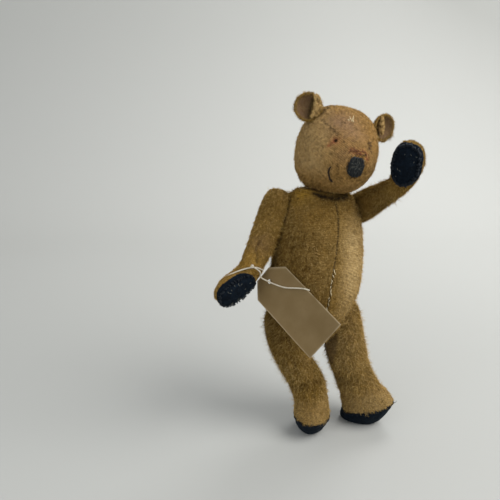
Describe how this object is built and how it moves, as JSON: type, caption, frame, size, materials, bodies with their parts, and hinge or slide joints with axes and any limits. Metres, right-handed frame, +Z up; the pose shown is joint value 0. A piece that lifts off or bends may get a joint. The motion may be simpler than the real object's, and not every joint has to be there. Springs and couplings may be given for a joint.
{
  "type": "jointed teddy bear",
  "caption": "Old disc-jointed teddy bear in threadbare gold mohair, standing with one arm raised, with velvet pads, a stitched nose and a blank card tag on its wrist.",
  "frame": {"origin": "floor level under the middle of the standing bear, measured without the tag and its free string", "axes": "+Z up; the bear faces -Y; its right side is at -X"},
  "size_m": [0.2036, 0.1238, 0.3718],
  "materials": {
    "worn_mohair": "matted gold mohair plush, worn down to its cotton ground in patches",
    "wood_wool": "dry shredded softwood, packed hard",
    "navy_velvet": "flattened cotton velvet, oversewn",
    "black_thread": "matt cotton floss",
    "hardboard": "smooth pressed fibre board",
    "zinc_steel": "dull zinc plate",
    "manila_card": "matt brown card, handled at the edges",
    "cotton_string": "twisted unbleached cotton"
  },
  "bodies": {
    "torso": {"torso_cover": "worn_mohair", "torso_stuffing": "wood_wool", "neck_body_disc": "hardboard", "neck_body_washer": "zinc_steel", "shoulder_r_body_disc": "hardboard", "shoulder_r_body_washer": "zinc_steel", "shoulder_l_body_disc": "hardboard", "shoulder_l_body_washer": "zinc_steel", "hip_r_body_disc": "hardboard", "hip_r_body_washer": "zinc_steel", "hip_l_body_disc": "hardboard", "hip_l_body_washer": "zinc_steel"},
    "head": {"head_cover": "worn_mohair", "head_stuffing": "wood_wool", "ear_r": "worn_mohair", "ear_l": "worn_mohair", "nose_stitching": "black_thread", "mouth_stitch": "black_thread", "neck_limb_disc": "hardboard", "neck_limb_washer": "zinc_steel", "neck_pin": "zinc_steel"},
    "arm_right": {"arm_r_cover": "worn_mohair", "arm_r_stuffing": "wood_wool", "paw_pad_r": "navy_velvet", "shoulder_r_limb_disc": "hardboard", "shoulder_r_limb_washer": "zinc_steel", "shoulder_r_pin": "zinc_steel", "wrist_loop": "cotton_string", "string_knot": "cotton_string", "tag_string": "cotton_string", "tag": "manila_card"},
    "arm_left": {"arm_l_cover": "worn_mohair", "arm_l_stuffing": "wood_wool", "paw_pad_l": "navy_velvet", "shoulder_l_limb_disc": "hardboard", "shoulder_l_limb_washer": "zinc_steel", "shoulder_l_pin": "zinc_steel"},
    "leg_right": {"leg_r_cover": "worn_mohair", "leg_r_stuffing": "wood_wool", "foot_pad_r": "navy_velvet", "hip_r_limb_disc": "hardboard", "hip_r_limb_washer": "zinc_steel", "hip_r_pin": "zinc_steel"},
    "leg_left": {"leg_l_cover": "worn_mohair", "leg_l_stuffing": "wood_wool", "foot_pad_l": "navy_velvet", "hip_l_limb_disc": "hardboard", "hip_l_limb_washer": "zinc_steel", "hip_l_pin": "zinc_steel"}
  },
  "joints": [
    {"name": "neck_turn", "type": "hinge", "parent": "torso", "child": "head", "pos_m": [0.02357, 0.0218, 0.2723], "axis": [0.1093, 0, 0.994], "range_deg": [-180, 30]},
    {"name": "shoulder_right_turn", "type": "hinge", "parent": "torso", "child": "arm_right", "pos_m": [-0.02167, 0.0228, 0.25191], "axis": [-0.9403, 0.0988, 0.3256], "range_deg": [-135, 90], "deforming": ["tag", "tag_string"]},
    {"name": "shoulder_left_turn", "type": "hinge", "parent": "torso", "child": "arm_left", "pos_m": [0.05738, 0.0228, 0.24688], "axis": [0.9454, 0.2357, 0.225], "range_deg": [0, 240]},
    {"name": "hip_right_turn", "type": "hinge", "parent": "torso", "child": "leg_right", "pos_m": [-0.00785, 0.0208, 0.12413], "axis": [-0.954, 0.0667, -0.2924], "range_deg": [-75, 80]},
    {"name": "hip_left_turn", "type": "hinge", "parent": "torso", "child": "leg_left", "pos_m": [0.03605, 0.0208, 0.12107], "axis": [0.9962, 0.0697, -0.0523], "range_deg": [-90, 75]}
  ]
}
